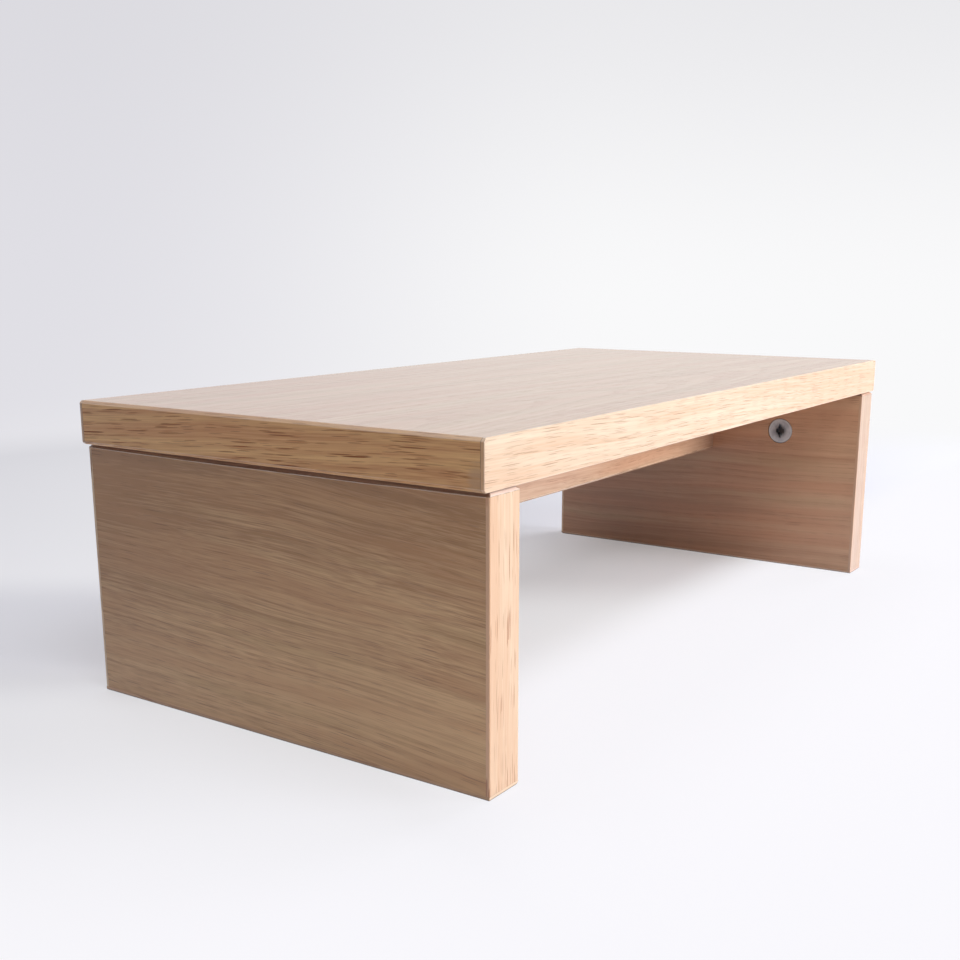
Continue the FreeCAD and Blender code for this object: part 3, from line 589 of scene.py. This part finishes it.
def makeTop(board):
    # The sheets keep their CAD meshes. The strips are cut anew: front and rear ones over the
    # full length, left and right ones between them.
    dress("top_upper_veneer", oak("topFaceOak", board["faceGrain"]))
    dress("top_lower_veneer", oak("undersideOak", board["undersideGrain"]))
    ends = [(side, level, "bevel") for side in (left, right) for level in (down, up)]
    for word, face, back in (("Front", fore, rear), ("Rear", rear, fore)):
        arrises = [(face, down, "fine"), (face, up, "fine"), *ends,
                   (left, face, "ease"), (right, face, "ease")]
        strip = edgingStrip(f"top{word}Edging", f"top_{word.lower()}_edging",
                            {"arrises": arrises, "step": board["step"]}, [back])
        strip.data.materials.append(oak(f"top{word}EdgingOak", board[f"{word.lower()}Edging"]))
    for word, face, back in (("Left", left, right), ("Right", right, left)):
        arrises = [(face, down, "bevel"), (face, up, "bevel")]
        strip = edgingStrip(f"top{word}Edging", f"top_{word.lower()}_edging",
                            {"arrises": arrises, "step": board["step"]}, [back, fore, rear])
        strip.data.materials.append(oak(f"top{word}EdgingOak", board[f"{word.lower()}Edging"]))


makeTop(topBoard)
print("top board done")

# Legs. For each end of a leg, whether painted shade lies at the joint above or at the foot,
# and how much: past 1 it starts as a solid line.

legBoards = {
    "left": {
        "outerGrain": dict(veneerWood, axes=(1, 2, 0), offset=(0, -230, 140),
                           lean=(-0.045, 0.02), bow=0.0002, middle=0.08, fibre=0.26, hair=0.24,
                           # Painted shade: darker towards the top, under the overhang, and towards
                           # the rear end. The colours, darker and richer than on lit faces, are
                           # partly painted shade.
                           paintedShades=((1, -215, -130, 0.0, 0.66), (0, 0, 100, 0.0, 0.28)),
                           light=(214, 171, 119), dark=(162, 111, 55),
                           warm=(186, 132, 77), cool=(176, 138, 78), pore=(116, 74, 46),
                           pores=((19.0, 0.7, 0.26, 0.5, 0.06), (11.0, 0.5, 0.27, 0.55, 0.12)),
                           # Painted shade: dark cut colour on the top bevel under the overhang.
                           # Painted highlight: the full pale edge, a bright line on that cut's
                           # lower arris.
                           cutTone=(150, 118, 104), cutShare=0.95, paleEdgeShare=1.0, paleEdge=(255, 244, 230)),
        "innerGrain": dict(veneerWood, axes=(1, 2, 0), offset=(400, -180, 150), lean=(0, 0.04)),
        "frontEdging": dict(edgingWood, axes=(2, 0, 1), offset=(0, 190, 130), ringTone=0.12,
                            pore=(160, 94, 56), light=(236, 208, 176), dark=(214, 170, 132),
                            ring=4.2, streak=0.16, fibre=0.2, poreStrength=0.85, paleEdgeShare=0.15,
                            # Painted shade: the strip's outer side, turned from the light, is
                            # darker
                            paintedShades=((1, -10.0, -9.2, 0.9, 0.0),), glue=0.25,
                            paleEdge=(232, 204, 176),
                            pores=((27.0, 1.0, 0.25, 1.0, 0.42), (15.0, 0.7, 0.25, 0.8, 0.3))),
        "rearEdging": dict(edgingWood, axes=(2, 0, 1), offset=(300, 210, -60)),
        "topEdging": dict(edgingWood, axes=(1, 0, 2), offset=(0, 200, -80), cutShare=0.95,
                          # Painted shade: dark cut colour on the bevels under the top's overhang.
                          # Painted light: the pale end colour, on the lit front and its bevel.
                          light=(222, 184, 160), dark=(190, 146, 120), cutTone=(126, 96, 82),
                          paleEdgeShare=0.15, lacquer=0.5, end=(250, 228, 216), endGrainShare=1.0, glue=0.9),
        "bottomEdging": dict(edgingWood, axes=(1, 0, 2), offset=(200, 180, 40), glue=0.15,
                             light=(200, 156, 112), dark=(160, 114, 72),
                             # Painted light: the pale end colour makes the lit front paler than the
                             # sides
                             end=(236, 206, 174), endGrainShare=0.95),
    },
    "right": {
        "outerGrain": dict(veneerWood, axes=(1, 2, 0), offset=(800, -190, -160), lean=(0.02, 0.03)),
        "innerGrain": dict(veneerWood, axes=(1, 2, 0), offset=(150, -170, -80), lean=(0.02, 0),
                           # Painted shade: darker than the oak of lit faces, and a painted shadow
                           # that is lighter near the front edge and darker from there towards the
                           # middle
                           light=(214, 174, 138), dark=(172, 126, 92), warm=(196, 140, 104),
                           paintedShades=((0, 60, 138, -0.15, 0.41),), streak=0.12, fibre=0.12,
                           hair=0.06),
        "frontEdging": dict(edgingWood, axes=(2, 0, 1), offset=(60, -180, 120), ringTone=0.12,
                            # Painted shade: darker than the same strip on the left leg
                            pore=(160, 94, 56), light=(200, 169, 145), dark=(178, 141, 114),
                            streak=0.16, fibre=0.2, poreStrength=0.5, paleEdgeShare=0.15, glue=0.25,
                            pores=((27.0, 1.0, 0.26, 0.7, 0.16), (15.0, 0.7, 0.26, 0.6, 0.12))),
        "rearEdging": dict(edgingWood, axes=(2, 0, 1), offset=(500, -170, -70)),
        "topEdging": dict(edgingWood, axes=(1, 0, 2), offset=(90, -210, -90), cutShare=0.95,
                          # Painted shade: darker than the left leg's top strip, with a darker cut
                          # colour
                          light=(204, 162, 134), dark=(176, 132, 106), cutTone=(116, 90, 76),
                          paleEdgeShare=0.1, lacquer=0.4, end=(206, 168, 146), endGrainShare=0.95),
        "bottomEdging": dict(edgingWood, axes=(1, 0, 2), offset=(400, -190, 30), glue=0.15,
                             light=(206, 166, 130), dark=(172, 126, 92),
                             end=(206, 168, 146), endGrainShare=0.95),
    },
    "topStrip": 1.5,  # thickness of the strip over the sheets
    "step": 4.0,
    "endContactShade": {"top": ("joint", 1.3), "bottom": ("foot", 1.6)},
}


def makeLeg(word, boards):
    # The outer sheet and the top strip share one wide cut, so the sheet's starts above it.
    outward, inner = (left, right) if word == "left" else (right, left)
    leg, step = boards[word], boards["step"]
    sheet = edgingStrip(f"{word}LegOuterVeneer", f"{word}_leg_outer_veneer",
                        {"arrises": [(outward, up, "legSide")], "step": step,
                         "above": boards["topStrip"], "slot": "oak_veneer"}, [])
    sheet.data.materials.append(oak(f"{word}LegOuterOak", leg["outerGrain"]))
    dress(f"{word}_leg_inner_veneer", oak(f"{word}LegInnerOak", leg["innerGrain"]))
    for end, face, back in (("front", fore, rear), ("rear", rear, fore)):
        strip = edgingStrip(f"{word}Leg{end.title()}Edging", f"{word}_leg_{end}_edging",
                            {"arrises": [(left, face, "ease"), (right, face, "ease")],
                             "step": step}, [back, down, up])
        strip.data.materials.append(oak(f"{word}Leg{end.title()}Oak", leg[f"{end}Edging"]))
    for end, level, inward in (("top", up, down), ("bottom", down, up)):
        outerCut, endCut = ("legSide", "legEnd") if end == "top" else ("fine", "fine")
        arrises = [(outward, level, outerCut), (inner, level, "bevel"),
                   (fore, level, endCut), (rear, level, endCut)]
        shadedEnd, amount = boards["endContactShade"][end]
        strip = edgingStrip(f"{word}Leg{end.title()}Edging", f"{word}_leg_{end}_edging",
                            {"arrises": arrises, "step": step, shadedEnd: amount}, [inward])
        strip.data.materials.append(oak(f"{word}Leg{end.title()}Oak", leg[f"{end}Edging"]))


for side in ("left", "right"):
    makeLeg(side, legBoards)
print("legs done")

# Rail

railBoard = {
    "frontGrain": dict(veneerWood, axes=(0, 2, 1), offset=(0, -100, 70), lean=(0.01, 0.02),
                       # Painted shade: darker than the other veneers, as it stands under the top
                       light=(208, 172, 142), dark=(176, 134, 104)),
    "rearGrain": dict(veneerWood, axes=(0, 2, 1), offset=(260, -60, -90), lean=(0.02, 0.02)),
    "edging": dict(edgingWood, offset=(100, 40, -30)),
    "step": 5.0,
}


def makeRail(rail):
    # The sheets keep their CAD meshes, and only the lower edge has a strip.
    dress("rail_front_veneer", oak("railFrontOak", rail["frontGrain"]))
    dress("rail_rear_veneer", oak("railRearOak", rail["rearGrain"]))
    strip = edgingStrip("railEdging", "rail_bottom_edging",
                        {"arrises": [(fore, down, "bevel"), (rear, down, "bevel")],
                         "step": rail["step"]}, [up])
    strip.data.materials.append(oak("railEdgingOak", rail["edging"]))


makeRail(railBoard)
print("rail done")

# Fittings and what is inside the boards. A hub is a lock's axis in metres, with a mask that
# leaves out the way it points, and how far from it the painted slot shade and rubbed metal reach,
# in millimetres.

fittings = {
    "zinc": {"light": (184, 190, 198), "dark": (158, 164, 174), "speck": 2600.0, "cloud": 260.0,
             # The dark colour and share of the painted shade round the drive slot
             "rough": 0.4, "slotShade": (44, 38, 36), "slotShadeShare": 0.88, "paleEdge": (204, 210, 216),
             "rubShare": 0.6},
    "legHub": {"mask": (0.0, 1.0, 1.0), "axis": (0.0, 0.052, 0.082), "reach": (1.4, 5.7),
               "rim": (6.2, 7.6)},
    "railHub": {"mask": (1.0, 0.0, 1.0), "axis": (0.157, 0.0, 0.096), "reach": (1.4, 5.7),
                "rim": (6.2, 7.6)},
    "steel": {"light": (196, 194, 188), "dark": (168, 166, 160), "speck": 1800.0, "cloud": 260.0,
              "rough": 0.3},
    "chips": {"light": (214, 182, 138), "dark": (168, 130, 88), "gap": (104, 76, 48),
              "perMetre": (420, 420, 900)},
    "beech": dict(veneerWood, axes=(2, 0, 1), light=(228, 196, 160), dark=(204, 164, 124),
                  ring=1.8, poreStrength=0.2, rough=0.6),
}


def makeFittings(parts):
    # Locks, bolts, dowels and cores keep their CAD meshes. The first fitting ending counts.
    legZinc = castMetal("legCastZinc", parts["zinc"], parts["legHub"])
    railZinc = castMetal("railCastZinc", parts["zinc"], parts["railHub"])
    steel = castMetal("boltSteel", parts["steel"])
    core, beech = chipboard("boardCore", parts["chips"]), oak("dowelBeech", parts["beech"])
    finishes = (("rail_cam_lock", railZinc), ("cam_lock", legZinc), ("bolt", steel),
                ("dowel", beech), ("core", core))
    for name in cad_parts:
        fitting = [finish for ending, finish in finishes if name.endswith(ending)]
        if fitting:
            dress(name, fitting[0])


makeFittings(fittings)
print("fittings done")

# Floor and backdrop

# Shares say how much of the floor's colour is its own glow, the rest being lit paper. Ramps
# are in metres from the middle of the riser: those named tint, right and left run to the
# picture's right, depth to the rear, high upwards, far and close all round, and the others
# away from the camera. The ramps paint light and shadow into the floor: what the floor beside
# the left leg loses of its share is a painted shadow.
studio = {
    "floorRadius": 1.25, "wallRadius": 1.7, "wallTop": 1.9, "rings": 40, "bendRows": 24,
    "wallRows": 8, "turns": 128, "floorAlbedo": (240, 241, 252),
    "rightWay": (0.565, -0.825, 0.0), "aheadWay": (0.825, 0.565, 0.0),
    "leftTint": (224, 223, 229), "rightTint": (249, 249, 250), "tintRamp": (-0.8, 0.25),
    "highTint": (214, 213, 218), "highRamp": (0.1, 0.75), "nearTint": (252, 251, 255),
    "frontRamp": (-0.32, -0.15), "rightRamp": (-0.1, 0.0), "rightDepth": (-0.06, -0.01),
    "rightShare": 0.88, "leftRamp": (-0.16, -0.06), "leftShare": 0.72, "legPaintedShadow": 0.46,
    "shadeStart": (-0.14, -0.06), "shadeEnd": (0.02, 0.1), "innerRamp": (0.0, 0.1),
    "innerShare": 0.31, "coreRamp": (0.1, 0.26), "coreShare": 0.36, "rearShare": 0.08,
    "farRamp": (0.35, 0.95), "closeRamp": (0.38, 0.8),
}


def turnedSurface(name, radii, heights, turns):
    # A profile of radii and heights carried round the upright axis: each of its points goes
    # on a circle, at radius times the cosine and the sine of the angle.
    angle = np.linspace(0, 2 * np.pi, turns, endpoint=False)
    points = np.stack([radii[:, None] * np.cos(angle), radii[:, None] * np.sin(angle),
                       heights[:, None] + 0 * angle], -1).reshape(-1, 3)
    row, column = np.meshgrid(np.arange(len(radii) - 1), np.arange(turns), indexing="ij")
    beside = (column + 1) % turns
    faces = np.stack([row * turns + column, (row + 1) * turns + column,
                      (row + 1) * turns + beside, row * turns + beside], -1)
    return addMesh(name, points, faces.reshape(-1, 4))


def paleGlow(tree, place, room):
    # The colour of the studio, by place: brighter to the right and towards the front, which is
    # painted light, and a little greyer high up on the backdrop. The share is how much of it the
    # floor shows over its own lit paper: most in front and to the right, less under the top and
    # beside the left leg, least behind the riser, and all of it far away. The lower shares paint
    # shadow and the higher ones light into the floor.
    towards = addNode(tree, "ShaderNodeVectorMath", {0: place, 1: room["rightWay"]},
                      operation="DOT_PRODUCT").outputs["Value"]
    ahead = addNode(tree, "ShaderNodeVectorMath", {0: place, 1: room["aheadWay"]},
                    operation="DOT_PRODUCT").outputs["Value"]
    parts = addNode(tree, "ShaderNodeSeparateXYZ", {0: place})
    side = between(tree, towards, *room["tintRamp"])
    colour = blendColours(tree, side, linear(*room["leftTint"]), linear(*room["rightTint"]))
    high = between(tree, parts.outputs[2], *room["highRamp"], 0.0, 0.5)
    colour = blendColours(tree, high, colour, linear(*room["highTint"]))
    front = between(tree, ahead, *room["frontRamp"], 1.0, 0.0)
    rightward = maths(tree, "MULTIPLY", between(tree, towards, *room["rightRamp"]),
                      between(tree, parts.outputs[1], *room["rightDepth"], 1.0, 0.1))
    near = maths(tree, "MAXIMUM", front, rightward)
    paintedShade = maths(tree, "MULTIPLY", between(tree, ahead, *room["shadeStart"]),
                  between(tree, ahead, *room["shadeEnd"], 1.0, 0.0))
    beside = maths(tree, "MULTIPLY_ADD", paintedShade, -room["legPaintedShadow"], room["leftShare"])
    inner = maths(tree, "ADD",
                  between(tree, ahead, *room["innerRamp"], room["innerShare"], 0.0),
                  between(tree, ahead, *room["coreRamp"], room["coreShare"], room["rearShare"]))
    leftward = between(tree, towards, *room["leftRamp"], 1.0, 0.0)
    share = maths(tree, "MULTIPLY_ADD", leftward, maths(tree, "SUBTRACT", beside, inner), inner)
    share = maths(tree, "MULTIPLY_ADD", near,
                  maths(tree, "SUBTRACT", room["rightShare"], share), share)
    flat = addNode(tree, "ShaderNodeVectorMath", {0: place, 1: (1.0, 1.0, 0.0)},
                   operation="MULTIPLY").outputs[0]
    away = addNode(tree, "ShaderNodeVectorMath", {0: flat}, operation="LENGTH").outputs["Value"]
    share = maths(tree, "MAXIMUM", share, between(tree, away, *room["farRamp"]))
    close = maths(tree, "MULTIPLY", near, between(tree, away, *room["closeRamp"], 1.0, 0.0))
    return blendColours(tree, close, colour, linear(*room["nearTint"])), share


def makeStudio(room):
    # A round floor that bends up into a round wall: a quarter circle, then straight up.
    radii = np.linspace(0.00001, room["floorRadius"], room["rings"])
    floor = turnedSurface("studioFloor", radii, 0 * radii, room["turns"])
    bend = np.linspace(0, np.pi / 2, room["bendRows"])
    depth = room["wallRadius"] - room["floorRadius"]
    wallRadii = room["floorRadius"] + depth * np.sin(bend)
    wallHeights = depth * (1 - np.cos(bend))
    rise = np.linspace(depth, room["wallTop"], room["wallRows"])[1:]
    wall = turnedSurface("studioWall", np.append(wallRadii, room["wallRadius"] + 0 * rise),
                         np.append(wallHeights, rise), room["turns"])
    material = bpy.data.materials.new("paleStudio")
    tree = emptyTree(material)
    place = addNode(tree, "ShaderNodeTexCoord").outputs["Object"]
    tint, share = paleGlow(tree, place, room)
    glow = addNode(tree, "ShaderNodeEmission", {"Color": tint, "Strength": 1.0})
    paper = addNode(tree, "ShaderNodeBsdfDiffuse", {"Color": linear(*room["floorAlbedo"])})
    mixed = addNode(tree, "ShaderNodeMixShader",
                    {0: maths(tree, "MULTIPLY", share, seenDirectly(tree)),
                     1: paper.outputs[0], 2: glow.outputs[0]})
    addNode(tree, "ShaderNodeOutputMaterial", {"Surface": mixed.outputs[0]})
    for piece in (floor, wall):
        piece.data.materials.append(material)
    wall.visible_diffuse = False
    wall.visible_shadow = False


makeStudio(studio)
print("floor and backdrop done")

# Light. Lamps point at the floor in the middle of the riser. mirrored says whether gloss
# shows one.

lighting = {
    "lamps": {
        "lowWindow": {"place": (0.52, -1.18, 0.24), "size": (0.62, 0.44), "power": 14.8,
                      "colour": (1.0, 1.0, 1.02), "mirrored": False},
        "ceiling": {"place": (-0.10, 0.31, 1.31), "size": (0.6, 0.6), "power": 6.6,
                    "colour": (1.0, 0.99, 0.98)},
        "frontFill": {"place": (-0.43, -0.75, 1.02), "size": (0.6, 0.6), "power": 4.5,
                      "colour": (1.0, 0.99, 0.97)},
        "leftCard": {"place": (-0.95, -0.20, 0.16), "size": (0.6, 0.28), "power": 0.35,
                     "colour": (1.0, 0.98, 0.95)},
        "rightFill": {"place": (1.10, -0.36, 0.60), "size": (0.5, 0.5), "power": 7.0,
                      "colour": (1.0, 1.0, 1.02), "mirrored": False},
    },
    "world": {"strength": 0.02, "colour": (1.0, 0.985, 0.96), "seenColour": (238, 238, 241)},
}


def makeLights(lights):
    # Flat lamps, and a faint light all round that the camera and gloss see as pale grey.
    for name, lamp in lights["lamps"].items():
        light = bpy.data.lights.new(name, "AREA")
        light.shape = "RECTANGLE"
        light.size, light.size_y = lamp["size"]
        light.energy = lamp["power"]
        light.color = lamp["colour"]
        holder = bpy.data.objects.new(name, light)
        bpy.context.scene.collection.objects.link(holder)
        holder.location = lamp["place"]
        holder.rotation_euler = (-holder.location).to_track_quat("-Z", "Y").to_euler()
        holder.visible_camera = False
        holder.visible_glossy = lamp.get("mirrored", True)
    world = bpy.data.worlds.new("studioAir")
    bpy.context.scene.world = world
    sky, tree = lights["world"], emptyTree(world)
    air = addNode(tree, "ShaderNodeBackground",
                  {"Color": (*sky["colour"], 1.0), "Strength": sky["strength"]})
    pale = addNode(tree, "ShaderNodeBackground",
                   {"Color": linear(*sky["seenColour"]), "Strength": 1.0})
    mixed = addNode(tree, "ShaderNodeMixShader",
                    {0: seenDirectly(tree), 1: air.outputs[0], 2: pale.outputs[0]})
    addNode(tree, "ShaderNodeOutputWorld", {"Surface": mixed.outputs[0]})


makeLights(lighting)
print("light done")

# Camera, as the photograph was taken. Angles in radians: heading from the rear to the right,
# dip below level.

viewpoint = {
    "place": (-0.51434, -0.31364, 0.17702), "heading": 0.9708, "dip": 0.2283,
    "lens": 45.118, "sensor": 36, "shift": (-0.0063, 0.0714), "nearest": 0.01,
}


def makeCamera(spot):
    lens = bpy.data.cameras.new("riserCamera")
    lens.sensor_width = spot["sensor"]
    lens.lens = spot["lens"]
    lens.shift_x, lens.shift_y = spot["shift"]
    lens.clip_start = spot["nearest"]
    camera = bpy.data.objects.new("riserCamera", lens)
    camera.location = spot["place"]
    camera.rotation_euler = (math.pi / 2 - spot["dip"], 0, -spot["heading"])
    bpy.context.scene.collection.objects.link(camera)
    bpy.context.scene.camera = camera


makeCamera(viewpoint)
bpy.context.scene.view_settings.view_transform = "Standard"
print("camera done")
